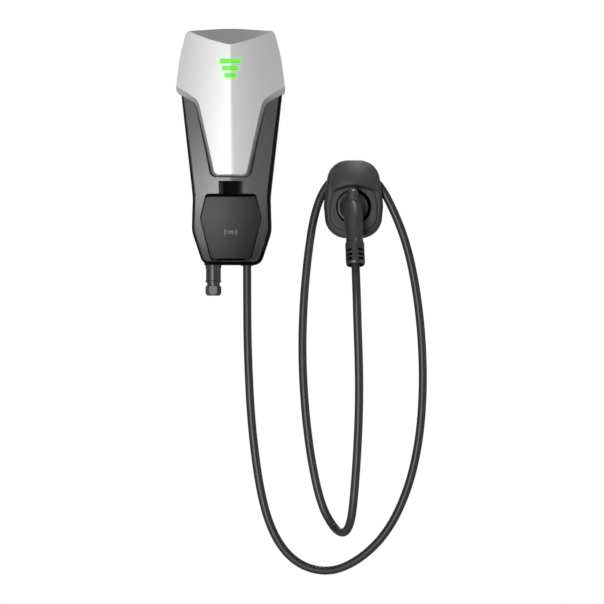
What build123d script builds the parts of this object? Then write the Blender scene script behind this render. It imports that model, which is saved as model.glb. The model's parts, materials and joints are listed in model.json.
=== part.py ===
from build123d import *
import math
import os

os.makedirs("parts", exist_ok=True)

# Driving sizes in millimetres. Depths run from the wall (0) towards the viewer.
# Clearances and walls shared by all pieces
wall = 3.0
gap = 0.6
slip = 0.3

# Depth stack of the box
standoff = 10.0
rear_depth = 52.0
gasket_thick = 2.0
side_height = 34.0
side_draft = 9.6

# Faceted shield: outline, ridge and facets
shield_half = 104.0
shield_top = 220.0
crown_half = 83.0
crown_arch = 6.0
brow_half = 96.5
brow_drop = 57.5
shoulder_z = 103.0
shoulder_fall = 23.0
vee_top_half = 67.0
vee_foot_half = 34.0
vee_foot_z = -59.0
ridge_rise = 56.0
ridge_lean = 14.0
ridge_bow = 9.5
facet_fold = 0.157
facet_curve = 0.00136
ridge_soft_top = 1.5
ridge_soft_foot = 7.0
apex_drop = 33.0
top_slope = 0.68
band_base = 2.0
band_high = 60.0
band_shoulder_rise = 41.5
band_corner_rise = 6.6
band_vee_inset = 12.2
band_foot_inset = 10.5
band_foot_rise = 7.2
shield_skirt = 20.0

# Housing outline and folded front
shoulder_inset = 7.0
waist_half = 74.5
waist_z = -95.0
belly_half = 76.5
belly_z = -160.0
foot_half = 55.0
foot_z = -225.0
fold_rise = 18.0
fold_lean = 0.031
fold_bend_r = 1500.0
fold_slope = 0.08
fold_curve = 0.0009
fold_soft = 3.0

# Groove round the shield's foot, neck channel and card panel
groove_high = 20.0
groove_foot = 5.5
groove_under = 0.5
neck_lip = 6.5
neck_half = 23.0
neck_radius = 25.5
panel_below_vee = 36.5
panel_top_half = 47.5
panel_half = 58.6
panel_wide_drop = 41.5
panel_foot_half = 38.0
panel_margin = 10.5
panel_skin = 2.5
panel_rise = 12.0
panel_bow_r = 345.0
panel_lean = 2.5
panel_slot = 4.5
panel_under = 3.0

# Charge level light: three bars that taper with the shield
bar_widths = (38.0, 29.0, 20.0)
bar_height = 6.5
bar_pitch = 13.5
light_below_top = 77.0
guide_plate = 2.0

# Screws
screw_r = 1.9
head_r = 3.6
head_high = 2.6
boss_r = 5.0

# Wall bracket
bracket_half = 60.0
bracket_rise = 85.0
sheet = 2.0
lip_high = 14.0
bolt_x = 80.0
bolt_z = 110.0
bolt_hole_r = 3.3

# Electronics
board_thick = 1.6
board_rise = 8.0
board_half = 56.0
board_top_margin = 60.0
board_foot_margin = 60.0
relay_high = 24.0
relay_wide = 24.0
relay_tall = 32.0
block_high = 24.0
block_wide = 36.0
block_tall = 26.0
sensor_tall = 12.0
capacitor_high = 22.0
control_tall = 76.0
control_margin = 7.0
spacer_inset = 5.0
control_clear = 4.0
wire_r = 1.8
wire_ring = 4.2

# Supply gland and charge cable
gland_edge = 19.0
cable_edge = 26.0
entry_rise = 24.0
gland_bore = 9.0
gland_wall = 3.4
gland_shoulder = 2.3
thread_step = 0.8
gland_sleeve = 33.5
gland_groove = 6.5
nut_high = 19.0
nut_wall = 1.3
pad_high = 12.0
locknut_high = 6.0
cable_r = 8.0

# Wall holder
holder_x = 234.5
holder_z = -113.3
holder_top_half = 46.0
holder_half = 57.8
holder_foot_half = 51.5
holder_rise = 91.0
holder_fall = 60.0
plate_thick = 4.0
flange_thick = 8.0
flange_slope = 22.0
flange_bulge = 14.0
face_half = 47.0
face_peak = 46.5
face_fall = 45.5
face_rise = 12.0
hood_rise = 27.5
hood_draft = 10.0
brow_roll = 5.0
hood_edge = 4.0
mouth_clear = 4.4
saddle_r = 57.2
fix_spacing = 56.0
fix_hole_r = 2.75

# Plug
plug_shift = 2.0
nose_r = 27.0
nose_long = 38.0
nose_flat = 21.0
nose_clear = 4.0
contact_r = 3.6
collar_lip = 2.6
collar_long = 10.0
handle_depth = 86.0
handle_tilt = 16.0
handle_roll = 2.0
handle_up = 36.5
handle_long = 110.0
handle_r = 17.8
grip_end_r = 17.0
knob_r = 11.5
knob_long = 23.0
ring_r = 13.6
boot_wall = 10.2
boot_bevel = 1.2
boot_lip = 1.8
bell_deep = 4.0
boot_long = 44.0
boot_slot = 4.8
boot_rib = 1.8
boot_first = 17.5
boot_pitch = 8.7
boot_spine = 6.1

# Derived depths
parting = standoff + rear_depth
rim = parting + gasket_thick
deck = rim + side_height
fold = deck + fold_rise
head = deck + ridge_rise
far = 2 * head
panel_face = deck + panel_rise
floor = standoff + wall
entry_depth = floor + entry_rise

# Derived places and fits
light_z = shield_top - light_below_top
board_top = shield_top - board_top_margin
board_foot = foot_z + board_foot_margin
gland_x = gland_edge - foot_half
cable_x = foot_half - cable_edge
gland_neck_r = gland_bore + gland_wall
gland_r = gland_neck_r + gland_shoulder
thread_r = gland_neck_r - thread_step
nut_corner_r = (thread_r + slip + nut_wall) / math.cos(math.pi / 6)
groove_wide = nose_long + nose_clear - flange_thick
collar_r = nose_r + collar_lip
mouth_r = collar_r + mouth_clear
boot_r = cable_r + boot_wall
plug_x = holder_x - plug_shift


def at(depth):
    """Plane parallel to the wall; its x is right, its y is up, it faces the viewer."""
    return Plane.XZ.offset(depth)


def prism(sketch, start, end, taper=0.0):
    """Solid from a sketch drawn in front view, between two depths."""
    return extrude(at(start) * sketch, amount=end - start, taper=taper)


def peg(x, z, radius, start, end):
    """Round bar square to the wall."""
    return prism(Pos(x, z) * Circle(radius), start, end)


def slab(x, z, width, height, start, end, corner=0.0):
    """Rectangular block seen from the front, with rounded corners if asked."""
    flat = RectangleRounded(width, height, corner) if corner else Rectangle(width, height)
    return prism(Pos(x, z) * flat, start, end)


def post(x, depth, radius, low, high):
    """Upright round bar."""
    return extrude(Plane.XY.offset(low) * Pos(x, -depth) * Circle(radius), amount=high - low)


def outline(corners, inset=0.0):
    """Closed symmetric face from right-hand corners (x, z, radius), top to bottom."""
    left = [(-x, z, r) for x, z, r in reversed(corners) if x > 0]
    ring = corners + left
    line = FilletPolyline(*[(x, z) for x, z, _ in ring], radius=[r for *_, r in ring], close=True)
    face = make_face(line)
    if inset:
        face = offset(face, amount=-inset)
    return face


def group(*solids):
    """Separate solids kept in one node."""
    return Compound(children=[part for s in solids for part in s.solids()])


def screw(x, z, seat, length, inward=1):
    """Pan head screw square to the wall; its head rests on the seat depth."""
    shank = sorted((seat, seat + inward * length))
    cap = sorted((seat, seat - inward * head_high))
    return peg(x, z, screw_r, *shank) + peg(x, z, head_r, *cap)


def on_brow(point):
    """True on the hood's front edge around the rounded face."""
    return point.Y < -flange_top and abs(point.X) < face_half and point.Z < face_peak + 2.0


# Outlines, right-hand corners from top to bottom
vee_top_z = shoulder_z - shoulder_fall
shield_corners = [
    (0.0, shield_top, 400.0),
    (crown_half, shield_top - crown_arch, 10.0),
    (brow_half, shield_top - brow_drop, 300.0),
    (shield_half, shoulder_z, 8.0),
    (vee_top_half, vee_top_z, 22.0),
    (vee_foot_half, vee_foot_z, 13.0),
]
housing_corners = [
    (crown_half - shoulder_inset, shield_top - crown_arch - shoulder_inset, 14.0),
    (shield_half - shoulder_inset, shoulder_z + 3.0, 25.0),
    (waist_half, waist_z, 120.0),
    (belly_half, belly_z, 60.0),
    (foot_half, foot_z, 20.0),
]
seat_corners = shield_corners[:5] + [(vee_foot_half, vee_foot_z - groove_under, 13.0)]
groove_corners = shield_corners[:5] + [(vee_foot_half + groove_foot, vee_foot_z - groove_under, 13.0)]
panel_top_z = vee_foot_z - panel_below_vee
panel_corners = [
    (panel_top_half, panel_top_z, 7.0),
    (panel_half, panel_top_z - panel_wide_drop, 18.0),
    (panel_foot_half, foot_z + panel_margin, 9.0),
]
recess_corners = [
    (panel_top_half, panel_top_z + panel_slot, 7.0),
    (panel_half, panel_top_z - panel_wide_drop, 18.0),
    (panel_foot_half, foot_z + panel_margin - panel_under, 9.0),
]


def half_at(z):
    """Half width of the housing outline at a height."""
    for (x0, z0, _), (x1, z1, _) in zip(housing_corners, housing_corners[1:]):
        if z1 <= z <= z0:
            return x0 + (x1 - x0) * (z0 - z) / (z0 - z1)
    return housing_corners[-1][0]


def ridge(z):
    """Depth of the shield's ridge at a height."""
    apex_z = shield_top - apex_drop
    u = (apex_z - z) / (apex_z - vee_foot_z)
    return head - ridge_lean * u - ridge_bow * u * abs(u)


def ridge_softness(z):
    """Half width of the rounding along the ridge at a height."""
    u = (z - vee_foot_z) / (shield_top - vee_foot_z)
    return ridge_soft_foot + (ridge_soft_top - ridge_soft_foot) * u


def housing_crest(z):
    """Depth of the housing's fold at a height; above the vee's foot it bends back under the shield."""
    above = max(min(z, shoulder_z) - vee_foot_z, 0.0)
    return fold + fold_lean * (min(z, shoulder_z) - vee_foot_z) - above**2 / (2 * fold_bend_r)


def bowed_block(crest, softness, slope, curve, heights, drop):
    """Lofted block whose front is two bowed facets that meet in a softened ridge."""
    span = shield_half + 12.0
    sections = []
    for z in heights:
        front = crest(z) - drop
        soft = softness(z)
        middle = (span + soft) / 2
        near, half_way, edge = [-(front - slope * x - curve * x * x) for x in (soft, middle, span)]
        nose_line = -(front - slope * soft / 2)
        rim_line = [
            ThreePointArc((-span, edge), (-middle, half_way), (-soft, near)),
            ThreePointArc((-soft, near), (0, nose_line), (soft, near)),
            ThreePointArc((soft, near), (middle, half_way), (span, edge)),
            Polyline((span, edge), (span, -parting), (-span, -parting), (-span, edge)),
        ]
        sections.append(Plane.XY.offset(z) * make_face(rim_line))
    return loft(sections)


def facet_body(drop):
    """Block under the shield's two facets."""
    heights = (vee_foot_z - 25.0, 0.0, shoulder_z, shield_top + 25.0)
    return bowed_block(ridge, ridge_softness, facet_fold, facet_curve, heights, drop)


def band_core(inset, drop):
    """Block inside the sloped band that runs along the shield's shoulders, vee and foot."""
    reach = shield_half + 30.0
    steep = shoulder_fall / (shield_half - vee_top_half)
    side_z = shoulder_z + steep * (reach - shield_half)
    lower = [
        (reach, shield_top + 90.0, 4.0),
        (reach, side_z, 4.0),
        (vee_top_half, vee_top_z, 22.0),
        (vee_foot_half, vee_foot_z, 13.0),
    ]
    upper = [
        (reach, shield_top + 90.0, 4.0),
        (reach, side_z + band_shoulder_rise, 4.0),
        (vee_top_half - band_vee_inset, vee_top_z + band_corner_rise, 34.0),
        (vee_foot_half - band_foot_inset, vee_foot_z + band_foot_rise, 8.0),
    ]
    low = deck + band_base - drop
    faces = [at(low) * outline(lower, inset), at(low + band_high) * outline(upper, inset)]
    return loft(faces, ruled=True)


def shield_body(inset, drop):
    """The shield's outer form, or the same form sunk by a wall thickness."""
    body = facet_body(drop) & prism(outline(shield_corners, inset), parting, far)
    apex = Vector(0, -head, shield_top - apex_drop)
    top_plane = Plane(origin=apex, x_dir=(1, 0, 0), z_dir=(0, -1, top_slope)).offset(-drop)
    body = split(body, bisect_by=top_plane, keep=Keep.BOTTOM)
    low = deck + band_base - drop
    trim = prism(Rectangle(4 * shield_half, 4 * shield_top), low, low + band_high)
    return body - (trim - band_core(inset, drop))


def fold_body(inset, drop):
    """Front housing form: drafted sides under two bowed faces folded along the middle."""
    body = extrude(at(rim) * outline(housing_corners, inset), amount=fold - rim + 12.0, taper=side_draft)
    low = [foot_z - 25.0, (foot_z + vee_foot_z) / 2, vee_foot_z]
    heights = low + [(vee_foot_z + shoulder_z) / 2, shoulder_z, shield_top + 25.0]
    return body & bowed_block(housing_crest, lambda z: fold_soft, fold_slope, fold_curve, heights, drop)


def shield_pocket(grow):
    """Space cleared for the shield, grown by a wall thickness for the inside."""
    low = deck - grow
    high = low + groove_high
    seat = outline(seat_corners, -(gap + grow))
    rim_face = outline(groove_corners, -(gap + grow))
    return loft([at(low) * seat, at(high) * rim_face], ruled=True) + prism(rim_face, high, far)


def panel_pocket(grow):
    """Recess for the card panel, grown by a wall thickness for the inside."""
    return prism(outline(recess_corners, -(slip + grow)), deck - grow, far)


def neck_channel(grow):
    """Hollow channel that runs from under the shield's foot into the panel recess."""
    surface = housing_crest(vee_foot_z) - fold_slope * neck_half - fold_curve * neck_half**2
    centre = surface + math.sqrt(neck_radius**2 - neck_half**2)
    high = vee_foot_z - groove_under - gap - neck_lip + grow
    return post(0, centre, neck_radius + grow, panel_top_z - 2.0 - grow, high)


# Places of the fasteners, tied to the outline
screw_heights = (shield_top - 40.0, shoulder_z - 70.0, waist_z - 10.0, foot_z + 28.0)
housing_points = []
for z in screw_heights:
    x = half_at(z) - wall - boss_r - 2.0
    housing_points += [(-x, z), (x, z)]
shield_points = [(s * crown_half * 0.72, shoulder_z + 40.0) for s in (-1, 1)]
shield_points += [(s * vee_foot_half * 0.5, vee_foot_z + 30.0) for s in (-1, 1)]

# Front housing: each cut tool is grown by the wall to hollow it evenly
boss_deep = 14.0
led_rise = 14.0
led_half = 28.0
led_depth = deck + led_rise
led_reach = led_half - 5.0
led_points = [(sx * led_reach, light_z + sz * led_reach) for sx in (-1, 1) for sz in (-1, 1)]

front = fold_body(0, 0)
face_edges = front.faces().sort_by(Axis.Y)[0:3].edges()
rim_edges = [e for e in face_edges if abs(e.center().X) > 2 * fold_soft or e.length < 4 * fold_soft]
front = fillet(rim_edges, 1.5)
cavity = fold_body(wall, wall)
for tool in (shield_pocket, panel_pocket, neck_channel):
    front = front - tool(0)
    cavity = cavity - tool(wall)
front = front - cavity
for x, z in housing_points:
    boss = peg(x, z, boss_r, rim, far) & fold_body(1.0, 1.0)
    front = front + (boss - shield_pocket(1.0) - panel_pocket(1.0))
    front = front - peg(x, z, screw_r + slip, rim, rim + boss_deep)
for x, z in shield_points:
    front = front - peg(x, z, screw_r + slip, deck - wall, deck)
for x, z in led_points:
    front = front + peg(x, z, 3.5, deck, led_depth)

# Shield cover with screw bosses and windows for the light bars
bars = [(width, light_z - (i - 1) * bar_pitch) for i, width in enumerate(bar_widths)]
shield_form = shield_body(0, 0)
boss_form = shield_body(1.0, 1.0)
shield = shield_form - shield_body(wall, wall)
for x, z in shield_points:
    shield = shield + (peg(x, z, boss_r, deck, far) & boss_form)
skirt_back = deck - shield_skirt
shield = shield + prism(outline(shield_corners, 0.5), skirt_back, skirt_back + wall)
shield = shield - prism(outline(housing_corners, -gap), parting, deck)
shield = shield - prism(Rectangle(400, 800), parting, skirt_back)
for x, z in shield_points:
    shield = shield - peg(x, z, screw_r + slip, deck, deck + boss_deep)
for width, z in bars:
    shield = shield - slab(0, z, width + 2 * slip, bar_height + 2 * slip, led_depth, far, 3.0)

# Light guide and its board behind the shield
led_face = led_depth + board_thick
guide_low = led_face + 4.0
guide_half = led_half - 6.0
guide = slab(0, light_z, 2 * guide_half, 2 * guide_half, led_face, guide_low + guide_plate, 4.0)
guide = guide - slab(0, light_z, 2 * guide_half - 5, 2 * guide_half - 5, led_face, guide_low, 2.0)
for width, z in bars:
    guide = guide + (slab(0, z, width, bar_height, guide_low, far, 2.7) & shield_form)
led_board = slab(0, light_z, 2 * led_half, 2 * led_half, led_depth, led_face, 3.0)

# Card panel: a thin tray over the antenna board
antenna_z = panel_top_z - panel_wide_drop
bow_place = Pos(0, panel_bow_r - panel_face, antenna_z) * Rot(panel_lean, 0, 0)
panel = prism(outline(panel_corners), deck, far) & bow_place * Cylinder(panel_bow_r, 2 * far)
panel = fillet(panel.faces().sort_by(Axis.Y)[0].edges(), 1.8)
tray = prism(outline(panel_corners, panel_skin), deck, far)
panel = panel - (tray & bow_place * Cylinder(panel_bow_r - panel_skin, 2 * far))
antenna = slab(0, antenna_z, panel_half, panel_half, deck, deck + board_thick, 5.0)
antenna = antenna - slab(0, antenna_z, panel_half * 0.5, panel_half * 0.5, deck, deck + board_thick, 3.0)

# Rear housing tub
board_back = floor + board_rise
board_face = board_back + board_thick
head_seat = standoff + 6.0
mid_z = (board_top + board_foot) / 2
board_levels = (board_top - 8.0, mid_z, board_foot + 8.0)
board_points = [(s * (board_half - 6.0), z) for s in (-1, 1) for z in board_levels]
lip_low = bracket_rise - sheet
lip_top = bracket_rise + lip_high
lock_depth = (sheet + standoff) / 2
bushing_r = cable_r + 3.7
flange_r = bushing_r + 3.0
cradle_z = board_foot - 20.0
cradle_half = 18.0
cradle_tall = 14.0
ear_x = (cradle_half + cable_r) / 2 + 1.0

rear = prism(outline(housing_corners), standoff, parting)
rear = fillet(rear.faces().sort_by(Axis.Y)[-1].edges(), 5.0)
rear = rear - prism(outline(housing_corners, wall), floor, parting)
inside = prism(outline(housing_corners, 1.0), standoff + 1.0, parting)
for x, z in housing_points:
    rear = rear + (peg(x, z, boss_r, floor - 1.0, parting) & inside)
    rear = rear + (peg(x, z, head_r + slip + 1.5, floor - 1.0, head_seat + 2.5) & inside)
    rear = rear - peg(x, z, screw_r + slip, standoff, parting)
    rear = rear - peg(x, z, head_r + slip, standoff, head_seat)
for x, z in board_points:
    rear = rear + peg(x, z, 4.0, floor - 1.0, board_back)
    rear = rear - peg(x, z, screw_r + slip, floor + 1.0, board_back)
pad_r = nut_corner_r + 2.5
pad = post(gland_x, entry_depth, pad_r, foot_z, foot_z + pad_high)
rear = rear + (pad - prism(Rectangle(400, 800), 0, floor))
rear = rear - post(gland_x, entry_depth, gland_neck_r + slip, foot_z, foot_z + pad_high)
rear = rear - post(cable_x, entry_depth, bushing_r + slip, foot_z - 1.0, foot_z + wall + 1.0)
rear = rear - post(cable_x, entry_depth, flange_r + slip, foot_z + wall, foot_z + wall + 4.0)
rear = rear + slab(cable_x, cradle_z, 2 * cradle_half, cradle_tall, floor - 1.0, entry_depth)
rear = rear - post(cable_x, entry_depth, cable_r + slip, cradle_z - cradle_tall, cradle_z + cradle_tall)
for side in (-1, 1):
    rear = rear - peg(cable_x + side * ear_x, cradle_z, screw_r + slip, entry_depth - 14.0, entry_depth)
hook_half = bracket_half * 0.7
rear = rear + slab(0, lip_top + 3.0, 2 * hook_half, 6.0, sheet + slip, standoff + 1.0)
hook_front = standoff - 2 * (sheet + slip)
rear = rear + slab(0, lip_top - 3.0, 2 * hook_half, 18.0, sheet + slip, hook_front)
lock_top = 16.0
rear = rear + slab(0, -lip_low + lock_top / 2, 14.0, lock_top, sheet + slip, standoff + 1.0)
rear = rear - post(0, lock_depth, screw_r + slip, -lip_low, -lip_low + lock_top - 4.0)

gasket = prism(outline(housing_corners, 0.8) - outline(housing_corners, wall), parting, rim)

# Wall bracket: folded sheet with a hanging lip and a locking tab
bracket = slab(0, 0, 2 * bracket_half, 2 * bracket_rise, 0, sheet, 8.0)
bracket = bracket - slab(0, 0, bracket_half * 0.8, bracket_rise * 0.8, 0, sheet, 10.0)
for sx in (-1, 1):
    for sz in (-1, 1):
        bracket = bracket - peg(sx * bolt_x / 2, sz * bolt_z / 2, bolt_hole_r, 0, sheet)
lip_depth = standoff - sheet
bracket = bracket + slab(0, bracket_rise - sheet / 2, 2 * hook_half, sheet, 0, lip_depth)
lip = slab(0, (lip_low + lip_top) / 2, 2 * hook_half, lip_top - lip_low, lip_depth - sheet, lip_depth)
bracket = bracket + lip
bracket = bracket + slab(0, -bracket_rise + sheet / 2, 30.0, sheet, 0, lip_depth)
bracket = bracket - post(0, lock_depth, screw_r + slip, -bracket_rise, -lip_low)

# Fasteners of the box
housing_reach = rim + boss_deep - 4.0 - head_seat
shield_reach = wall + boss_deep - 4.0
board_reach = board_thick + board_rise - 2.0
housing_screws = group(*[screw(x, z, head_seat, housing_reach) for x, z in housing_points])
shield_screws = group(*[screw(x, z, deck - wall, shield_reach) for x, z in shield_points])
board_screws = group(*[screw(x, z, board_face, board_reach, -1) for x, z in board_points])
lock_screw = post(0, lock_depth, screw_r, -bracket_rise, -lip_low + lock_top - 6.0)
lock_screw = lock_screw + post(0, lock_depth, head_r - 1.0, -bracket_rise - head_high, -bracket_rise)

# Boards and what stands on them
main_board = slab(0, mid_z, 2 * board_half, board_top - board_foot, board_back, board_face, 4.0)
for x, z in board_points:
    main_board = main_board - peg(x, z, screw_r + slip, board_back, board_face)
relay_xs = (-relay_wide * 0.65, relay_wide * 0.65)
relay_zs = (mid_z + 2.0, mid_z - relay_tall - 6.0)
relays = []
for x in relay_xs:
    for z in relay_zs:
        can = slab(x, z, relay_wide, relay_tall, board_face, board_face + relay_high, 1.5)
        relays.append(chamfer(can.faces().sort_by(Axis.Y)[0].edges(), 1.0))
block_z = board_foot + sensor_tall + 4.0 + block_tall / 2
blocks = []
for x in (gland_x, cable_x):
    block = slab(x, block_z, block_wide, block_tall, board_face, board_face + block_high)
    for i in range(4):
        place = (x + (i - 1.5) * block_wide / 4, block_z + block_tall / 5)
        block = block - peg(*place, wire_r + 1.0, board_face + 8.0, board_face + block_high)
    blocks.append(block)
sensor_z = board_foot + sensor_tall / 2
sensor = post(cable_x, entry_depth, entry_depth - board_face - 1.0, board_foot, board_foot + sensor_tall)
sensor = sensor + slab(cable_x, sensor_z, 20.0, sensor_tall, board_face, entry_depth - 8.0)
sensor_bore = wire_ring + wire_r + 2.5
sensor = sensor - post(cable_x, entry_depth, sensor_bore, board_foot, board_foot + sensor_tall)
cable_end_z = board_foot - 8.0
wires = []
for dx, dd in ((-wire_ring, 0), (wire_ring, 0), (0, -wire_ring), (0, wire_ring)):
    wires.append(post(cable_x + dx, entry_depth + dd, wire_r, cable_end_z, block_z - block_tall / 2))
spare_z = board_top - 50.0
transformer = slab(0, spare_z, 40.0, 36.0, board_face, board_face + 20.0, 2.0)
transformer = transformer + slab(0, spare_z, 30.0, 44.0, board_face, board_face + 16.0, 2.0)
capacitor_top = board_face + capacitor_high
capacitors = [peg(x, spare_z + 34.0, 7.0, board_face, capacitor_top) for x in (-18.0, 0.0, 18.0)]
capacitors = [fillet(c.faces().sort_by(Axis.Y)[0].edges(), 1.2) for c in capacitors]
control_low = capacitor_top + control_clear
control_half = board_half - control_margin
spacer_x = control_half - spacer_inset
spacer_z = control_tall / 2 - spacer_inset
control_points = [(sx * spacer_x, spare_z + sz * spacer_z) for sx in (-1, 1) for sz in (-1, 1)]
control_top = control_low + board_thick
control_board = slab(0, spare_z, 2 * control_half, control_tall, control_low, control_top, 3.0)
spacers = group(*[peg(x, z, 3.0, board_face, control_low) for x, z in control_points])

# Supply gland: body, locknut, seal and dome nut on one upright axis
gland_low = foot_z - gland_sleeve
nut_top = gland_low - gland_groove
nut_low = nut_top - nut_high
thread_low = nut_top - nut_high * 0.45
nut_floor = nut_low + nut_high * 0.2
turned = [
    (gland_bore, foot_z + pad_high + locknut_high + 3.0),
    (gland_neck_r, foot_z + pad_high + locknut_high + 3.0),
    (gland_neck_r, foot_z),
    (gland_r + 0.8, foot_z),
    (gland_r + 0.8, foot_z - 3.0),
    (gland_r - 0.4, foot_z - 8.0),
    (gland_r - 0.4, gland_low + 4.0),
    (gland_r + 0.6, gland_low + 2.5),
    (gland_r + 0.6, gland_low),
    (gland_neck_r, gland_low),
    (gland_neck_r, nut_top),
    (thread_r, nut_top),
    (thread_r, thread_low),
    (gland_bore, thread_low),
]
gland_place = Pos(gland_x, -entry_depth, 0)
gland_body = gland_place * revolve(Plane.XZ * make_face(Polyline(*turned, close=True)), Axis.Z)
gland_seal = gland_place * extrude(
    Plane.XY.offset(nut_floor) * (Circle(thread_r) - Circle(gland_bore)),
    amount=thread_low - nut_floor,
)
hexagon = RegularPolygon(nut_corner_r, 6)
nut_form = [
    (0, nut_top),
    (nut_corner_r - 1.5, nut_top),
    (nut_corner_r, nut_top - 2.0),
    (nut_corner_r, nut_low + 5.0),
    (nut_corner_r - 3.0, nut_low),
    (0, nut_low),
]
gland_nut = extrude(Plane.XY.offset(nut_low) * hexagon, amount=nut_high)
gland_nut = gland_nut & revolve(Plane.XZ * make_face(Polyline(*nut_form, close=True)), Axis.Z)
gland_nut = gland_nut - Pos(0, 0, nut_floor) * Cylinder(
    thread_r + slip, nut_high, align=(Align.CENTER, Align.CENTER, Align.MIN)
)
gland_nut = gland_place * (gland_nut - Pos(0, 0, nut_low) * Cylinder(gland_bore, nut_high))
lock_ring = RegularPolygon(nut_corner_r + 1.0, 6) - Circle(gland_neck_r + slip)
locknut = gland_place * extrude(Plane.XY.offset(foot_z + pad_high) * lock_ring, amount=locknut_high)

# Cable bushing and clamp
bushing = post(cable_x, entry_depth, bushing_r, foot_z - 1.5, foot_z + wall)
bushing = bushing + post(cable_x, entry_depth, flange_r, foot_z + wall, foot_z + wall + 3.0)
bushing = bushing - post(cable_x, entry_depth, cable_r + slip, foot_z - 2.0, foot_z + wall + 4.0)
clamp_face = entry_depth + cable_r + 4.0
clamp_bore = post(cable_x, entry_depth, cable_r + slip, cradle_z - cradle_tall, cradle_z + cradle_tall)
clamp = slab(cable_x, cradle_z, 2 * cradle_half, cradle_tall, entry_depth, clamp_face, 1.0) - clamp_bore
for side in (-1, 1):
    clamp = clamp - peg(cable_x + side * ear_x, cradle_z, screw_r + slip, entry_depth, clamp_face)
clamp_screws = group(*[screw(cable_x + s * ear_x, cradle_z, clamp_face, 20.0, -1) for s in (-1, 1)])

# Wall holder: base with saddle and cup, front with hood and mouth
holder_corners = [
    (holder_top_half, holder_rise, 40.0),
    (holder_half, 5.0, 70.0),
    (holder_foot_half, -holder_fall, 42.0),
]
face_corners = [
    (0.0, face_peak, 75.0),
    (face_half - 7.0, face_peak - 16.5, 20.0),
    (face_half, 0.0, 100.0),
    (face_half - 3.0, -face_fall, 30.0),
]
holder_at = Pos(holder_x, holder_z)
saddle_face = Circle(saddle_r) & outline(holder_corners, 3.5)
tube_wall = 4.0
flange_low = plate_thick + groove_wide
flange_top = flange_low + flange_thick
face_top = flange_top + face_rise
cup_r = nose_r + gap
seat_depth = flange_top

base = prism(holder_at * outline(holder_corners, 3.0), 0, plate_thick)
base = base + prism(holder_at * saddle_face, plate_thick, flange_low)
base = base - prism(holder_at * offset(saddle_face, amount=-tube_wall), plate_thick, flange_low)
base = base + peg(plug_x, holder_z, cup_r + wall, plate_thick, seat_depth)
base = base - peg(plug_x, holder_z, cup_r, plate_thick, seat_depth)
for sx in (-1, 1):
    for sz in (-1, 1):
        hole = (holder_x + sx * fix_spacing / 2, holder_z + sz * fix_spacing / 2)
        base = base - peg(*hole, fix_hole_r, 0, plate_thick)

flange = prism(outline(holder_corners), flange_low, flange_low + flange_bulge, flange_slope)
flange = fillet(flange.faces().sort_by(Axis.Y)[0].edges(), 3.0)
hood_slices = []
hood_profile = ((-4, 0.26), (8, 0.54), (22, 0.78), (36, 0.94), (50, 1.0), (66, 0.94), (82, 0.76), (98, 0.5))
for below_top, share in hood_profile:
    wide = holder_half + 3.0
    arch = ThreePointArc((-wide, -flange_low), (0, -(flange_low + hood_rise * share)), (wide, -flange_low))
    slice_face = make_face([arch, Line((wide, -flange_low), (-wide, -flange_low))])
    hood_slices.append(Plane.XY.offset(holder_rise - below_top) * slice_face)
hood = loft(hood_slices)
hood = hood & prism(outline(holder_corners), flange_low, flange_low + 2 * hood_rise, hood_draft)
hood = fillet(hood.faces().sort_by(Axis.Y)[0].edges().sort_by(Axis.Z)[1:], hood_edge)
hood = hood - prism(outline(face_corners), flange_low, far)
brow = [edge for edge in hood.edges() if edge.geom_type != GeomType.LINE and on_brow(edge.center())]
hood = fillet(brow, brow_roll)
boss_face = prism(outline(face_corners), flange_low, face_top)
boss_face = fillet(boss_face.faces().sort_by(Axis.Y)[0].edges(), 4.0)
skirt = prism(offset(saddle_face, amount=-tube_wall - slip), flange_low - 10.0, flange_low)
skirt = skirt - prism(offset(saddle_face, amount=-tube_wall - slip - 2.5), flange_low - 10.0, flange_low)
holder_front = flange + hood + boss_face + skirt
holder_front = holder_front - peg(0, 0, mouth_r, flange_low - 10.0, far)
holder_front = Pos(holder_x, 0, holder_z) * holder_front

# Plug: collar and grip in one shell, nose, contacts and slotted boot
tilt = math.radians(handle_tilt)
axis_dir = Vector(0, -math.sin(tilt), -math.cos(tilt)).rotate(Axis.Y, -handle_roll)
crossing = Vector(plug_x, -handle_depth, holder_z)
knob_top = crossing - axis_dir * handle_up
grip_plane = Plane(origin=knob_top, x_dir=(1, 0, math.tan(math.radians(handle_roll))), z_dir=axis_dir)
neck_end = knob_long + 3.0
ring_end = neck_end + 2.5
grip_line = [
    ThreePointArc((0, 0), (knob_r * 0.72, knob_r * 0.3), (knob_r, knob_r)),
    Spline((knob_r, knob_r), (knob_r, knob_long - 5.0), (knob_r - 1.2, knob_long)),
    Polyline(
        (knob_r - 1.2, knob_long),
        (ring_r, neck_end),
        (ring_r, ring_end),
        (ring_r - 0.8, ring_end + 0.7),
        (ring_r - 0.3, ring_end + 1.6),
    ),
    Spline(
        (ring_r - 0.3, ring_end + 1.6),
        (handle_r - 1.5, handle_long * 0.41),
        (handle_r, handle_long * 0.52),
        (handle_r - 1.0, handle_long * 0.72),
        (grip_end_r, handle_long),
    ),
    Polyline((grip_end_r, handle_long), (0, handle_long), (0, 0)),
]
grip = revolve(Plane.XZ * make_face(grip_line), Axis.Z)
grip = grip_plane * grip
collar_top = seat_depth + collar_long
collar = peg(plug_x, holder_z, collar_r, seat_depth, collar_top)
collar = fillet(collar.faces().sort_by(Axis.Y)[0].edges(), 2.0)
neck = loft(
    [
        at(collar_top - 1.0) * Pos(plug_x, holder_z) * Circle(collar_r - 3.5),
        at((collar_top + handle_depth) / 2) * Pos(plug_x, holder_z - 1.0) * Circle(handle_r + 1.5),
        at(handle_depth) * Pos(plug_x, holder_z - 2.0) * Circle(handle_r - 4.0),
    ]
)
plug_shell = collar + neck + grip
nose_low = seat_depth - nose_long
contact_deep = nose_long * 0.65
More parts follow.
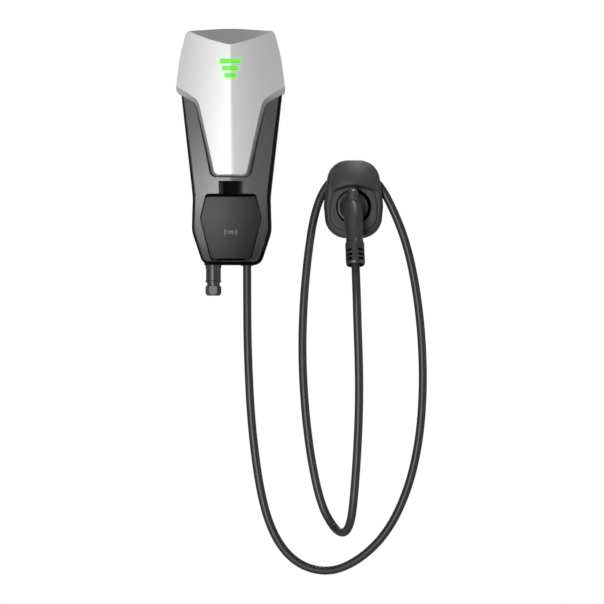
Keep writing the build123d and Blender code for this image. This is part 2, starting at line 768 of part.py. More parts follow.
nose_face = Circle(nose_r) & Pos(0, nose_flat - nose_r) * Rectangle(4 * nose_r, 2 * nose_r)
nose = prism(Pos(plug_x, holder_z) * nose_face, nose_low, seat_depth)
pins = [(0.0, 0.0)]
pins += [(sx * nose_r * 0.62, 0.0) for sx in (-1, 1)]
pins += [(sx * nose_r * 0.32, -nose_r * 0.6) for sx in (-1, 1)]
pins += [(sx * nose_r * 0.34, nose_r * 0.44) for sx in (-1, 1)]
contacts = []
for x, z in pins:
    place = (plug_x + x, holder_z + z)
    nose = nose - peg(*place, contact_r + slip, nose_low, nose_low + contact_deep)
    sleeve = peg(*place, contact_r, nose_low + 2.0, nose_low + contact_deep)
    contacts.append(sleeve - peg(*place, contact_r - 1.2, nose_low + 2.0, nose_low + contact_deep - 4.0))

boot_bell = boot_r - boot_bevel - boot_lip
boot_form = [
    (cable_r + slip, handle_long),
    (grip_end_r - 0.4, handle_long),
    (boot_r, handle_long + 2.0),
    (boot_r, handle_long + boot_long - 4.0),
    (boot_r - boot_bevel, handle_long + boot_long),
    (boot_bell, handle_long + boot_long),
    (boot_bell - 1.0, handle_long + boot_long - bell_deep),
    (cable_r + slip, handle_long + boot_long - bell_deep),
]
boot = revolve(Plane.XZ * make_face(Polyline(*boot_form, close=True)), Axis.Z)
for i in range(3):
    level = handle_long + boot_first + boot_pitch * i
    slots = Box(2 * (boot_r - boot_rib), 4 * boot_r, boot_slot) - Box(2 * boot_spine, 4 * boot_r, boot_slot)
    boot = boot - Pos(0, 0, level) * (slots - Cylinder(cable_r + 3.0, boot_slot))
boot = grip_plane * boot

# Charge cable: (x, depth, z) from inside the box, round the holder, to the plug
boot_start = knob_top + axis_dir * (handle_long + 3.0)
route = [
    (30.5, 38, -405), (38, 38, -545), (57, 38, -680), (85, 37, -758), (128, 36, -805),
    (188, 35, -820), (247, 33, -795), (301, 31, -742),
    (339, 29, -664), (361, 27, -575), (370, 26, -475), (368, 24, -370), (357, 23, -272),
    (340, 21, -190), (317, 21, -127), (285.5, 21, -65.5), (252.5, 21, -45.5), (214, 21, -46),
    (182, 21, -68), (159.5, 21, -121), (147, 22, -200), (138, 24, -295), (135, 27, -395),
    (140, 31, -495), (150, 34, -583), (163, 35, -652), (176, 37, -696), (191, 45, -723),
    (205, 61, -738), (218, 83, -737), (227, 99, -718), (232, 106, -685), (236, 110, -637),
    (240, 115, -575), (243, 121, -500), (243, 127, -425), (240, 130, -345),
]
spots = [Vector(cable_x, -entry_depth, cable_end_z), Vector(cable_x, -entry_depth, foot_z - 67.0)]
spots += [Vector(x, -depth, z) for x, depth, z in route]
spots += [boot_start + axis_dir * 78.0, boot_start]
radii = []
for a, b, c in zip(spots, spots[1:], spots[2:]):
    turn = math.radians((b - a).get_angle(c - b))
    radii.append(0.45 * min((b - a).length, (c - b).length) / math.tan(turn / 2))
print("cable arc radii:", [round(r) for r in radii])
lay = FilletPolyline(*spots, radius=radii)
start_plane = Plane(origin=spots[0], z_dir=spots[1] - spots[0])
cable = sweep(start_plane * Circle(cable_r), path=lay)
tube = math.pi * cable_r**2 * lay.length
print("cable length", round(lay.length), "volume ratio", round(cable.volume / tube, 5))

nodes = {
    "wall_bracket": bracket,
    "rear_housing": rear,
    "housing_gasket": gasket,
    "front_housing": front,
    "shield_cover": shield,
    "light_guide": guide,
    "led_board": led_board,
    "card_panel": panel,
    "antenna_board": antenna,
    "main_board": main_board,
    "relays": group(*relays),
    "terminal_blocks": group(*blocks),
    "current_sensor": sensor,
    "transformer": transformer,
    "capacitors": group(*capacitors),
    "control_board": control_board,
    "board_spacers": spacers,
    "load_wires": group(*wires),
    "housing_screws": housing_screws,
    "shield_screws": shield_screws,
    "board_screws": board_screws,
    "lock_screw": lock_screw,
    "gland_body": gland_body,
    "gland_locknut": locknut,
    "gland_seal": gland_seal,
    "gland_nut": gland_nut,
    "cable_bushing": bushing,
    "cable_clamp": clamp,
    "clamp_screws": clamp_screws,
    "holder_base": base,
    "holder_front": holder_front,
    "plug_shell": plug_shell,
    "plug_nose": nose,
    "plug_contacts": group(*contacts),
    "plug_boot": boot,
    "charge_cable": cable,
}
for name, shape in nodes.items():
    export_step(shape, f"parts/{name}.step")
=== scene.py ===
import json
import math

import bmesh
import bpy
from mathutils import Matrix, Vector


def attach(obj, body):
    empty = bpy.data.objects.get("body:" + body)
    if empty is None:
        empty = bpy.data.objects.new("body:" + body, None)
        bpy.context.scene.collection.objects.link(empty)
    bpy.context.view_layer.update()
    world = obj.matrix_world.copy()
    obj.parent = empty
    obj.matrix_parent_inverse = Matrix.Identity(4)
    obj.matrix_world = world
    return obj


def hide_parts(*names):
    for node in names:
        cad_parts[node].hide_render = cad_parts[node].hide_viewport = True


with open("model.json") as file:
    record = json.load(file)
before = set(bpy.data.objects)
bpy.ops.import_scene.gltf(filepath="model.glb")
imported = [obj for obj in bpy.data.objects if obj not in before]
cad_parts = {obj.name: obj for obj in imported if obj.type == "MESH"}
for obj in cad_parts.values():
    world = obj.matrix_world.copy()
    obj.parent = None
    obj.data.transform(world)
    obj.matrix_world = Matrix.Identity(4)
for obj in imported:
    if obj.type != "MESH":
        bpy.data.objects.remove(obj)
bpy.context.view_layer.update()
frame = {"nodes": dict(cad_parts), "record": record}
nodes = frame["nodes"]
scene = bpy.context.scene
scene.view_settings.view_transform = "Standard"

# Camera: square to the wall, far off with a long lens
CAMERA_AT = (0.1351, -4.0, -0.2962)
LENS_MM = 122.27
camera = bpy.data.cameras.new("camera")
camera.lens = LENS_MM
camera.sensor_width = 36.0
camera.clip_end = 50.0
camera_object = bpy.data.objects.new("camera", camera)
camera_object.location = CAMERA_AT
camera_object.rotation_euler = (math.pi / 2, 0.0, 0.0)
scene.collection.objects.link(camera_object)
scene.camera = camera_object

# Charge cable: the route of the tube as control points, in metres
CABLE_RADIUS = 0.008
ROUTE = [
    (0.029, -0.037, -0.173), (0.029, -0.037, -0.292), (0.0305, -0.038, -0.405),
    (0.038, -0.038, -0.545), (0.057, -0.038, -0.680), (0.085, -0.037, -0.758),
    (0.128, -0.036, -0.805), (0.188, -0.035, -0.820), (0.247, -0.033, -0.795),
    (0.301, -0.031, -0.742), (0.339, -0.029, -0.664), (0.361, -0.027, -0.575),
    (0.370, -0.026, -0.475), (0.368, -0.024, -0.370), (0.357, -0.023, -0.272),
    (0.340, -0.021, -0.190), (0.317, -0.021, -0.127), (0.2855, -0.021, -0.0655),
    (0.2525, -0.021, -0.0455), (0.214, -0.021, -0.046), (0.182, -0.021, -0.068),
    (0.1595, -0.021, -0.121), (0.147, -0.022, -0.200), (0.138, -0.024, -0.295),
    (0.135, -0.027, -0.395), (0.140, -0.031, -0.495), (0.150, -0.034, -0.583),
    (0.163, -0.035, -0.652), (0.176, -0.037, -0.696), (0.191, -0.045, -0.723),
    (0.205, -0.061, -0.738), (0.218, -0.083, -0.737), (0.227, -0.099, -0.718),
    (0.232, -0.106, -0.685), (0.236, -0.110, -0.637), (0.240, -0.115, -0.575),
    (0.243, -0.121, -0.500), (0.243, -0.127, -0.425), (0.240, -0.130, -0.345),
    (0.237683, -0.128586, -0.261724), (0.235066, -0.107086, -0.186792),
]


# Material helpers
def material(name):
    """A new material with its node tree, its shader and its object coordinates."""
    made = bpy.data.materials.new(name)
    made.use_nodes = True
    tree = made.node_tree
    tree.nodes.clear()
    output = tree.nodes.new("ShaderNodeOutputMaterial")
    shader = tree.nodes.new("ShaderNodeBsdfPrincipled")
    tree.links.new(shader.outputs["BSDF"], output.inputs["Surface"])
    place = tree.nodes.new("ShaderNodeTexCoord").outputs["Object"]
    return made, tree, shader, place


def noise(tree, place, scale, detail=2.0, stretch=None):
    """Noise value over the object, with features 1/scale metres wide."""
    if stretch:
        mapping = tree.nodes.new("ShaderNodeMapping")
        mapping.inputs["Scale"].default_value = stretch
        tree.links.new(place, mapping.inputs["Vector"])
        place = mapping.outputs["Vector"]
    node = tree.nodes.new("ShaderNodeTexNoise")
    node.inputs["Scale"].default_value = scale
    node.inputs["Detail"].default_value = detail
    tree.links.new(place, node.inputs["Vector"])
    return node.outputs["Fac"]


def spread(tree, value, low, high, start=0.3, end=0.7):
    """A value mapped from one range to another and kept inside it."""
    node = tree.nodes.new("ShaderNodeMapRange")
    node.inputs["From Min"].default_value = start
    node.inputs["From Max"].default_value = end
    node.inputs["To Min"].default_value = low
    node.inputs["To Max"].default_value = high
    tree.links.new(value, node.inputs["Value"])
    return node.outputs["Result"]


def tint(tree, value, dark, light):
    """A colour between two, by a value from 0 to 1."""
    node = tree.nodes.new("ShaderNodeMix")
    node.data_type = "RGBA"
    node.inputs["A"].default_value = (*dark, 1.0)
    node.inputs["B"].default_value = (*light, 1.0)
    tree.links.new(value, node.inputs["Factor"])
    return node.outputs["Result"]


def bump(tree, shader, height, strength, distance, edge=0.0):
    """Bump from a height value, over edges softened by a small radius."""
    node = tree.nodes.new("ShaderNodeBump")
    node.inputs["Strength"].default_value = strength
    node.inputs["Distance"].default_value = distance
    tree.links.new(height, node.inputs["Height"])
    if edge:
        soft = tree.nodes.new("ShaderNodeBevel")
        soft.samples = 4
        soft.inputs["Radius"].default_value = edge
        tree.links.new(soft.outputs["Normal"], node.inputs["Normal"])
    tree.links.new(node.outputs["Normal"], shader.inputs["Normal"])


def patchy(tree, shader, place, roughness):
    """Roughness that varies a little over the surface."""
    patch = spread(tree, noise(tree, place, 60.0, 4.0), roughness - 0.01, roughness + 0.01)
    tree.links.new(patch, shader.inputs["Roughness"])


def moulded(name, colour, roughness, grain=900.0, relief=0.12, edge=0.0006, specular=0.4, cloudy=0.08):
    """Moulded plastic or rubber: slight cloudiness, fine grain and soft edges."""
    made, tree, shader, place = material(name)
    cloud = spread(tree, noise(tree, place, 9.0, 3.0), 0.0, 1.0)
    dark = tuple(c * (1.0 - cloudy) for c in colour)
    light = tuple(c * (1.0 + cloudy) for c in colour)
    tree.links.new(tint(tree, cloud, dark, light), shader.inputs["Base Color"])
    patchy(tree, shader, place, roughness)
    shader.inputs["Specular IOR Level"].default_value = specular
    bump(tree, shader, noise(tree, place, grain, 2.0), relief, 0.0003, edge)
    return made


def maths(tree, operation, first, second=0.0):
    """A sum, product or other operation on two values, each a number or a socket."""
    node = tree.nodes.new("ShaderNodeMath")
    node.operation = operation
    for socket, value in zip(node.inputs, (first, second)):
        if isinstance(value, float):
            socket.default_value = value
        else:
            tree.links.new(value, socket)
    return node.outputs["Value"]


def split(tree, vector):
    """The three coordinates of a vector, by name."""
    node = tree.nodes.new("ShaderNodeSeparateXYZ")
    tree.links.new(vector, node.inputs["Vector"])
    return node.outputs


# The front housing's two bowed faces, as the solid has them, in metres
FOLD_DEPTH = 0.116
FOLD_LEAN = 0.031
FOLD_BEND = 1.5
FOLD_SLOPE = 0.08
FOLD_CURVE = 0.9
VEE_FOOT_Z = -0.059
VEE_FOOT_HALF = 0.034
VEE_SPREAD = 0.2374
VEE_RIM = 0.012
VEE_LIP = 0.0035
SHOULDER_Z = 0.103
# Soft steps of the two-tone paint and the painted shade, each from its start to its end in metres, and how
# much painted shade darkens each foot
SIDE_SINK = (0.0015, 0.004)
HOLLOW_SINK = (0.002, 0.011)
NECK_SIDE = (0.06, 0.064)
RIM_STEP = (0.0, 0.002)
BOOT_SLOT = (0.0152, 0.0168)
HOUSING_FOOT = (-0.207, -0.084)
HOUSING_FOOT_SHADE = 0.85
PANEL_FOOT = (-0.215, -0.13)
PANEL_FOOT_SHADE = 0.5


def sunk_below_fold(tree, side, axes):
    """How far a point of the front housing lies behind its folded front."""
    steep = maths(tree, "ADD", maths(tree, "MULTIPLY", side, FOLD_CURVE), FOLD_SLOPE)
    fall = maths(tree, "MULTIPLY", side, steep)
    height = maths(tree, "SUBTRACT", maths(tree, "MINIMUM", axes["Z"], SHOULDER_Z), VEE_FOOT_Z)
    above = maths(tree, "MAXIMUM", height, 0.0)
    bend = maths(tree, "DIVIDE", maths(tree, "MULTIPLY", above, above), 2.0 * FOLD_BEND)
    crest = maths(tree, "ADD", maths(tree, "MULTIPLY", height, FOLD_LEAN), FOLD_DEPTH)
    face = maths(tree, "SUBTRACT", maths(tree, "SUBTRACT", crest, bend), fall)
    return maths(tree, "ADD", face, axes["Y"])


def beyond_vee(tree, side, axes):
    """How far a point of the front housing lies outside the rim of the shield's recess."""
    height = maths(tree, "SUBTRACT", axes["Z"], VEE_FOOT_Z)
    edge = maths(tree, "ADD", maths(tree, "MULTIPLY", height, VEE_SPREAD), VEE_FOOT_HALF + VEE_RIM)
    below = maths(tree, "SUBTRACT", maths(tree, "MULTIPLY", height, -1.0), VEE_LIP)
    return maths(tree, "MAXIMUM", maths(tree, "SUBTRACT", side, edge), below)


def housing_recess(tree, place):
    """Two values, 0 to 1: sunk, on the front housing's sides (black two-tone paint), in its recesses and at
    its foot (painted shade), and deep, painted shade in its neck.
    """
    axes = split(tree, place)
    side = maths(tree, "ABSOLUTE", axes["X"])
    depth = sunk_below_fold(tree, side, axes)
    # The black of the sides is two-tone paint; the dark recess floors and the near-black neck are painted
    # shade.
    walls = spread(tree, depth, 0.0, 1.0, *SIDE_SINK)
    hollow = spread(tree, depth, 0.0, 1.0, *HOLLOW_SINK)
    outer = spread(tree, side, 0.0, 1.0, *NECK_SIDE)
    behind = maths(tree, "MAXIMUM", hollow, maths(tree, "MULTIPLY", walls, outer))
    beside = spread(tree, beyond_vee(tree, side, axes), 0.0, 1.0, *RIM_STEP)
    middle = spread(tree, side, 1.0, 0.0, *NECK_SIDE)
    deep = maths(tree, "MULTIPLY", maths(tree, "MULTIPLY", hollow, middle), beside)
    # Painted shade: the front housing gets darker towards its foot.
    foot = spread(tree, axes["Z"], HOUSING_FOOT_SHADE, 0.0, *HOUSING_FOOT)
    return maths(tree, "MAXIMUM", maths(tree, "MULTIPLY", behind, beside), foot), deep


def panel_foot(tree, place):
    """Twice the same value: 0 on the upper part of the panel, rising towards its foot, where it paints
    shade.
    """
    axes = split(tree, place)
    # Painted shade: the panel gets darker towards its foot.
    foot = spread(tree, axes["Z"], PANEL_FOOT_SHADE, 0.0, *PANEL_FOOT)
    return foot, foot


def boot_recess(tree, place):
    """Twice the same value: 1 in the slots and the open end of the plug's boot, 0 on its ribs; it paints
    shade into the slots.
    """
    start = Vector(ROUTE[-2])
    along = (Vector(ROUTE[-1]) - start).normalized()
    reach = tree.nodes.new("ShaderNodeVectorMath")
    reach.operation = "SUBTRACT"
    reach.inputs[1].default_value = start
    tree.links.new(place, reach.inputs[0])
    across = tree.nodes.new("ShaderNodeVectorMath")
    across.operation = "CROSS_PRODUCT"
    across.inputs[1].default_value = along
    tree.links.new(reach.outputs["Vector"], across.inputs[0])
    radius = tree.nodes.new("ShaderNodeVectorMath")
    radius.operation = "LENGTH"
    tree.links.new(across.outputs["Vector"], radius.inputs[0])
    # Painted shade: dark inside the boot's slots.
    slots = spread(tree, radius.outputs["Value"], 1.0, 0.0, *BOOT_SLOT)
    return slots, slots


def two_tone_and_painted_shade(name, face, recess, roughness, specular, hollow):
    """Moulded plastic, darker and without sheen where it is sunk and near black in its hollows, which
    another function finds: two-tone paint on the housing's sides, painted shade in recesses, hollows, slots
    and at the foot.
    """
    made, tree, shader, place = material(name)
    cloud = spread(tree, noise(tree, place, 9.0, 3.0), 0.94, 1.06)
    sunk, deep = hollow(tree, place)
    tone = maths(tree, "MULTIPLY", spread(tree, sunk, face, recess, 0.0, 1.0), cloud)
    # Painted shade: near black in the hollows.
    shade = spread(tree, deep, 1.0, 0.2, 0.0, 1.0)
    tree.links.new(maths(tree, "MULTIPLY", tone, shade), shader.inputs["Base Color"])
    tree.links.new(spread(tree, sunk, specular, 0.0, 0.0, 1.0), shader.inputs["Specular IOR Level"])
    patchy(tree, shader, place, roughness)
    bump(tree, shader, noise(tree, place, 900.0, 2.0), 0.1, 0.0003, 0.0006)
    return made


def metal(name, colour, roughness, stretch=(1.0, 1.0, 14.0)):
    """Bare or plated metal with a faint drawn grain."""
    made, tree, shader, place = material(name)
    streak = noise(tree, place, 220.0, 3.0, stretch)
    dark = tuple(c * 0.85 for c in colour)
    tree.links.new(tint(tree, spread(tree, streak, 0.0, 1.0), dark, colour), shader.inputs["Base Color"])
    tree.links.new(spread(tree, streak, roughness - 0.07, roughness + 0.08), shader.inputs["Roughness"])
    shader.inputs["Metallic"].default_value = 1.0
    bump(tree, shader, streak, 0.08, 0.0002, 0.0003)
    return made


# The light bars, as the solid has them, in metres: half width and height above the wall mount
BARS = ((0.019, 0.1565), (0.0145, 0.143), (0.01, 0.1295))
BAR_HALF_HIGH = 0.00325
# Painted glow on the silver lacquer beside the light bars: how far it reaches and its colour.
GLOW_REACH = 0.009
GLOW = (0.16, 0.8, 0.1)


def painted_bar_glow(tree, place):
    """1 at the edges of the light bars, fading to 0 a little way off: where the lacquer gets its painted
    glow.
    """
    axes = split(tree, place)
    side = maths(tree, "ABSOLUTE", axes["X"])
    nearest = GLOW_REACH
    for half_wide, height in BARS:
        level = maths(tree, "ABSOLUTE", maths(tree, "SUBTRACT", axes["Z"], height))
        across = maths(tree, "MAXIMUM", maths(tree, "SUBTRACT", side, half_wide), 0.0)
        along = maths(tree, "MAXIMUM", maths(tree, "SUBTRACT", level, BAR_HALF_HIGH), 0.0)
        squares = [maths(tree, "MULTIPLY", reach, reach) for reach in (across, along)]
        nearest = maths(tree, "MINIMUM", maths(tree, "SQRT", maths(tree, "ADD", *squares)), nearest)
    return maths(tree, "POWER", spread(tree, nearest, 1.0, 0.0, 0.0, GLOW_REACH), 2.0)


def at_front(tree, place):
    """1 on surfaces that face out of the wall, 0 on the others."""
    facing = split(tree, place.node.outputs["Normal"])
    return spread(tree, facing["Y"], 1.0, 0.0, -0.6, -0.2)


def lacquer(name, colour):
    """Silver paint with fine flakes under a thin clear coat, with a painted green glow near the light bars
    beside it.
    """
    made, tree, shader, place = material(name)
    cloud = spread(tree, noise(tree, place, 7.0, 2.0), 0.0, 1.0)
    flake = spread(tree, noise(tree, place, 2600.0, 1.0), 0.0, 1.0)
    both = maths(tree, "ADD", maths(tree, "MULTIPLY", flake, 0.7), maths(tree, "MULTIPLY", cloud, 0.3))
    dark = tuple(c * 0.93 for c in colour)
    light = tuple(min(c * 1.05, 1.0) for c in colour)
    # Painted glow: the lacquer is tinted green and emits near the light bars.
    glow = maths(tree, "MULTIPLY", painted_bar_glow(tree, place), at_front(tree, place))
    mix = tree.nodes.new("ShaderNodeMix")
    mix.data_type = "RGBA"
    mix.inputs["B"].default_value = (*GLOW, 1.0)
    tree.links.new(spread(tree, glow, 0.0, 0.5, 0.0, 1.0), mix.inputs["Factor"])
    tree.links.new(tint(tree, both, dark, light), mix.inputs["A"])
    tree.links.new(mix.outputs["Result"], shader.inputs["Base Color"])
    shader.inputs["Emission Color"].default_value = (*GLOW, 1.0)
    tree.links.new(spread(tree, glow, 0.0, 0.25, 0.0, 1.0), shader.inputs["Emission Strength"])
    tree.links.new(spread(tree, flake, 0.53, 0.59), shader.inputs["Roughness"])
    shader.inputs["Metallic"].default_value = 0.55
    shader.inputs["Coat Weight"].default_value = 0.15
    shader.inputs["Coat Roughness"].default_value = 0.2
    bump(tree, shader, noise(tree, place, 2600.0, 1.0), 0.03, 0.0002, 0.0012)
    return made


def lit(name, colour, strength):
    """Frosted light guide that glows at its front."""
    made, tree, shader, place = material(name)
    frost = spread(tree, noise(tree, place, 420.0, 2.0), 0.0, 1.0)
    core = tuple(c * 0.86 for c in colour)
    glow = tint(tree, frost, core, colour)
    tree.links.new(glow, shader.inputs["Emission Color"])
    unlit = tint(tree, frost, tuple(c * 0.15 for c in colour), tuple(c * 0.2 for c in colour))
    tree.links.new(unlit, shader.inputs["Base Color"])
    tree.links.new(spread(tree, frost, 0.25, 0.4, 0.0, 1.0), shader.inputs["Roughness"])
    shine = maths(tree, "MULTIPLY", at_front(tree, place), strength)
    tree.links.new(shine, shader.inputs["Emission Strength"])
    shader.inputs["Specular IOR Level"].default_value = 0.2
    return made


# Materials of the nodes
housing_grey = two_tone_and_painted_shade("housing_grey", 0.057, 0.026, 0.4, 1.0, housing_recess)
housing_black = moulded("housing_black", (0.024, 0.024, 0.0245), 0.5, specular=0.3)
panel_grey = two_tone_and_painted_shade("panel_grey", 0.009, 0.009, 0.46, 0.32, panel_foot)
holder_black = moulded("holder_black", (0.032, 0.032, 0.0328), 0.5, 700.0, 0.15, specular=0.3)
plug_black = moulded("plug_black", (0.023, 0.023, 0.0235), 0.45, specular=0.6)
boot_black = two_tone_and_painted_shade("boot_black", 0.024, 0.02, 0.42, 0.6, boot_recess)
gland_black = moulded("gland_black", (0.036, 0.036, 0.037), 0.34, specular=0.5)
seal_rubber = moulded("seal_rubber", (0.012, 0.012, 0.012), 0.7, 600.0, 0.2)
cable_black = moulded("cable_black", (0.022, 0.022, 0.0225), 0.42, 1100.0, 0.1, 0.0)
board_green = moulded("board_green", (0.02, 0.12, 0.045), 0.35)
board_white = moulded("board_white", (0.7, 0.71, 0.7), 0.4)
part_black = moulded("part_black", (0.02, 0.02, 0.022), 0.45)
part_grey = moulded("part_grey", (0.3, 0.31, 0.32), 0.45)
part_blue = moulded("part_blue", (0.03, 0.08, 0.25), 0.4)
part_yellow = moulded("part_yellow", (0.55, 0.38, 0.05), 0.45)
wire_sleeve = moulded("wire_sleeve", (0.06, 0.05, 0.045), 0.5)
shield_silver = lacquer("shield_silver", (0.6, 0.6, 0.602))
light_green = lit("light_green", (0.15, 0.83, 0.05), 1.0)
steel_sheet = metal("steel_sheet", (0.5, 0.5, 0.51), 0.38, (1.0, 14.0, 1.0))
screw_steel = metal("screw_steel", (0.55, 0.55, 0.55), 0.34)
brass_parts = metal("brass_parts", (0.6, 0.44, 0.18), 0.34)
contact_silver = metal("contact_silver", (0.75, 0.75, 0.73), 0.25)
print_pale = moulded("print_pale", (0.2, 0.2, 0.205), 0.5, 1500.0, 0.05, 0.0)

finishes = {
    "steel_sheet": steel_sheet,
    "housing_black": housing_black,
    "seal_rubber": seal_rubber,
    "housing_grey": housing_grey,
    "shield_silver": shield_silver,
    "light_green": light_green,
    "board_white": board_white,
    "panel_grey": panel_grey,
    "board_green": board_green,
    "part_black": part_black,
    "part_grey": part_grey,
    "part_blue": part_blue,
    "part_yellow": part_yellow,
    "brass_parts": brass_parts,
    "wire_sleeve": wire_sleeve,
    "screw_steel": screw_steel,
    "gland_black": gland_black,
    "holder_black": holder_black,
    "plug_black": plug_black,
    "contact_silver": contact_silver,
    "cable_black": cable_black,
}
for entry in frame["record"]["subparts"]:
    solid = nodes[entry["node"]]
    solid.data.materials.clear()
    solid.data.materials.append(finishes[entry["material_slot"]])
nodes["plug_boot"].data.materials[0] = boot_black

# Charge cable along its route
cable_curve = bpy.data.curves.new("charge_cable_skin", "CURVE")
cable_curve.dimensions = "3D"
cable_curve.bevel_depth = CABLE_RADIUS
cable_curve.bevel_resolution = 7
cable_curve.resolution_u = 14
cable_curve.use_fill_caps = True
spline = cable_curve.splines.new("NURBS")
spline.points.add(len(ROUTE) - 1)
for point, spot in zip(spline.points, ROUTE):
    point.co = (*spot, 1.0)
spline.order_u = 3
spline.use_endpoint_u = True
cable = bpy.data.objects.new("charge_cable_skin", cable_curve)
scene.collection.objects.link(cable)
cable_curve.materials.append(cable_black)
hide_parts("charge_cable")
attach(cable, "root")

# Tap card sign printed on the panel: a card between two pairs of arcs
SIGN_Z = -0.1637
PRINT_THICK = 0.0001
panel = nodes["card_panel"]
bpy.context.view_layer.update()
panel_inverse = panel.matrix_world.inverted()
sign = bmesh.new()


def panel_front(x, z):
    """Where the panel's bowed face lies in front of a point of the wall."""
    start = panel_inverse @ Vector((x, -1.0, z))
    towards = panel_inverse.to_3x3() @ Vector((0.0, 1.0, 0.0))
    _, spot, _, _ = panel.ray_cast(start, towards)
    return panel.matrix_world @ spot


def flat_strip(left, right):
    """A printed strip between two rows of points (x, z) on the panel."""
    spots = [[panel_front(x, z) for x, z in row] for row in (left, right)]
    raised = Vector((0.0, -PRINT_THICK, 0.0))
    front = [[sign.verts.new(spot + raised) for spot in row] for row in spots]
    back = [[sign.verts.new(spot) for spot in row] for row in spots]
    count = len(left)
    for i in range(count - 1):
        quad = (front[0][i], front[0][i + 1], front[1][i + 1], front[1][i])
        sign.faces.new(quad)
        sign.faces.new([back[row][j] for row, j in ((0, i), (1, i), (1, i + 1), (0, i + 1))])
        for row in (0, 1):
            sign.faces.new((front[row][i], back[row][i], back[row][i + 1], front[row][i + 1]))
    for i in (0, count - 1):
        sign.faces.new((front[0][i], front[1][i], back[1][i], back[0][i]))


def arc(radius, middle, half_angle, steps=12):
    """Points on an arc about the sign's middle."""
    turns = [middle + half_angle * (2 * k / steps - 1) for k in range(steps + 1)]
    return [(radius * math.cos(t), SIGN_Z + radius * math.sin(t)) for t in turns]


LINE = 0.0009
ARC_RADII = (0.0074, 0.0112)
ARC_HALF_ANGLE = 0.5
for side in (0.0, math.pi):
    for radius in ARC_RADII:
        flat_strip(arc(radius, side, ARC_HALF_ANGLE), arc(radius + LINE, side, ARC_HALF_ANGLE))


def card_ring(half_wide, half_high, corner, steps=6):
    """Closed ring of points round a rounded card."""
    ring = []
    for k, (sx, sz) in enumerate(((1, 1), (-1, 1), (-1, -1), (1, -1))):
        for s in range(steps + 1):
            turn = math.pi / 2 * (k + s / steps)
            x = sx * (half_wide - corner) + corner * math.cos(turn)
            z = sz * (half_high - corner) + corner * math.sin(turn)
            ring.append((x, SIGN_Z + z))
    return ring + ring[:1]


CARD_WIDE = 0.0039
CARD_HIGH = 0.0027
flat_strip(card_ring(CARD_WIDE, CARD_HIGH, LINE), card_ring(CARD_WIDE - LINE, CARD_HIGH - LINE, LINE / 3))
STRIPE_Z = SIGN_Z + CARD_HIGH / 3
STRIPE_ENDS = (LINE - CARD_WIDE, CARD_WIDE - LINE)
flat_strip([(x, STRIPE_Z) for x in STRIPE_ENDS], [(x, STRIPE_Z - LINE) for x in STRIPE_ENDS])
bmesh.ops.recalc_face_normals(sign, faces=sign.faces)
sign_mesh = bpy.data.meshes.new("tap_sign")
sign.to_mesh(sign_mesh)
sign.free()
sign_mesh.materials.append(print_pale)
tap_sign = bpy.data.objects.new("tap_sign", sign_mesh)
scene.collection.objects.link(tap_sign)
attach(tap_sign, "root")

# Floor, far below the wall-hung box
FLOOR_Z = -1.25
FLOOR_REACH = 2.4
FLOOR_LIFT = 0.12
FLOOR_SEEN_LIFT = 0.28
floor_mesh = bpy.data.meshes.new("floor")
corners = [(-1, -1), (1, -1), (1, 1), (-1, 1)]
floor_mesh.from_pydata([(x * FLOOR_REACH, y * FLOOR_REACH, FLOOR_Z) for x, y in corners], [], [(0, 1, 2, 3)])
floor = bpy.data.objects.new("floor", floor_mesh)
scene.collection.objects.link(floor)
floor_pale = moulded("floor_pale", (0.9, 0.9, 0.9), 0.8, 300.0, 0.02, edge=0.0, specular=0.2, cloudy=0.02)
floor_tree = floor_pale.node_tree
floor_shader = floor_tree.nodes["Principled BSDF"]
floor_shader.inputs["Emission Color"].default_value = (1.0, 1.0, 1.0, 1.0)
floor_seen = floor_tree.nodes.new("ShaderNodeLightPath").outputs["Is Camera Ray"]
floor_glow = maths(floor_tree, "ADD", maths(floor_tree, "MULTIPLY", floor_seen, FLOOR_SEEN_LIFT), FLOOR_LIFT)
floor_tree.links.new(floor_glow, floor_shader.inputs["Emission Strength"])
floor_mesh.materials.append(floor_pale)


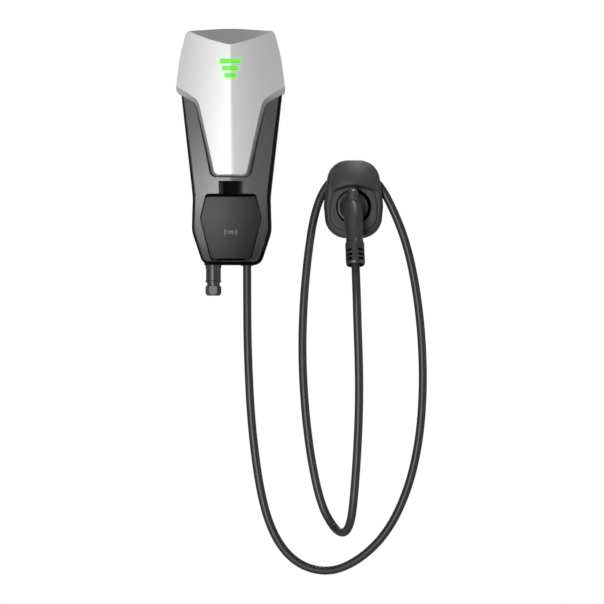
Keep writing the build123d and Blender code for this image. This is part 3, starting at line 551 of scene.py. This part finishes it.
# Soft studio lights
def soft_box(name, spot, target, size, power, beam=180.0):
    """A square area lamp that looks at a point, with its beam in degrees."""
    data = bpy.data.lights.new(name, "AREA")
    data.size = size
    data.energy = power
    data.spread = math.radians(beam)
    lamp = bpy.data.objects.new(name, data)
    lamp.location = spot
    lamp.rotation_euler = (Vector(target) - Vector(spot)).to_track_quat("-Z", "Y").to_euler()
    scene.collection.objects.link(lamp)


soft_box("front", (-1.0, -4.1, -0.92), (0.1, 0.0, -0.2), 1.2, 142.0)
soft_box("left", (-2.5, -2.7, -1.1), (0.1, 0.0, -0.1), 1.6, 14.0)
soft_box("right", (2.8, -0.7, -0.4), (0.1, 0.0, -0.1), 1.2, 9.0)
soft_box("back", (0.0, 3.0, 1.0), (0.1, 0.0, -0.2), 2.0, 30.0)
soft_box("top", (0.4, -0.3, 0.75), (0.25, -0.04, -0.06), 0.25, 0.3, 30.0)

# World: white for the camera, pale behind for reflections, a low even light for the rest
world = bpy.data.worlds.new("studio")
scene.world = world
world.use_nodes = True
sky = world.node_tree
sky.nodes.clear()
sky_out = sky.nodes.new("ShaderNodeOutputWorld")
path = sky.nodes.new("ShaderNodeLightPath")


def backdrop(strength):
    """A white world background of one strength."""
    node = sky.nodes.new("ShaderNodeBackground")
    node.inputs["Color"].default_value = (1.0, 1.0, 1.0, 1.0)
    node.inputs["Strength"].default_value = strength
    return node.outputs["Background"]


def chosen(factor, first, second):
    """The first shader where the factor is 0, the second where it is 1."""
    node = sky.nodes.new("ShaderNodeMixShader")
    sky.links.new(factor, node.inputs[0])
    sky.links.new(first, node.inputs[1])
    sky.links.new(second, node.inputs[2])
    return node.outputs["Shader"]


white = backdrop(1.0)
pale = backdrop(0.4)
dim = backdrop(0.12)
direction = split(sky, sky.nodes.new("ShaderNodeTexCoord").outputs["Generated"])
behind = sky.nodes.new("ShaderNodeMapRange")
behind.interpolation_type = "SMOOTHSTEP"
behind.inputs["From Min"].default_value = -0.1
behind.inputs["From Max"].default_value = 0.7
sky.links.new(direction["Y"], behind.inputs["Value"])
mirrored = maths(sky, "MAXIMUM", path.outputs["Is Glossy Ray"], path.outputs["Is Transmission Ray"])
seen = chosen(behind.outputs["Result"], dim, pale)
lighting = chosen(mirrored, dim, seen)
sky.links.new(chosen(path.outputs["Is Camera Ray"], lighting, white), sky_out.inputs["Surface"])
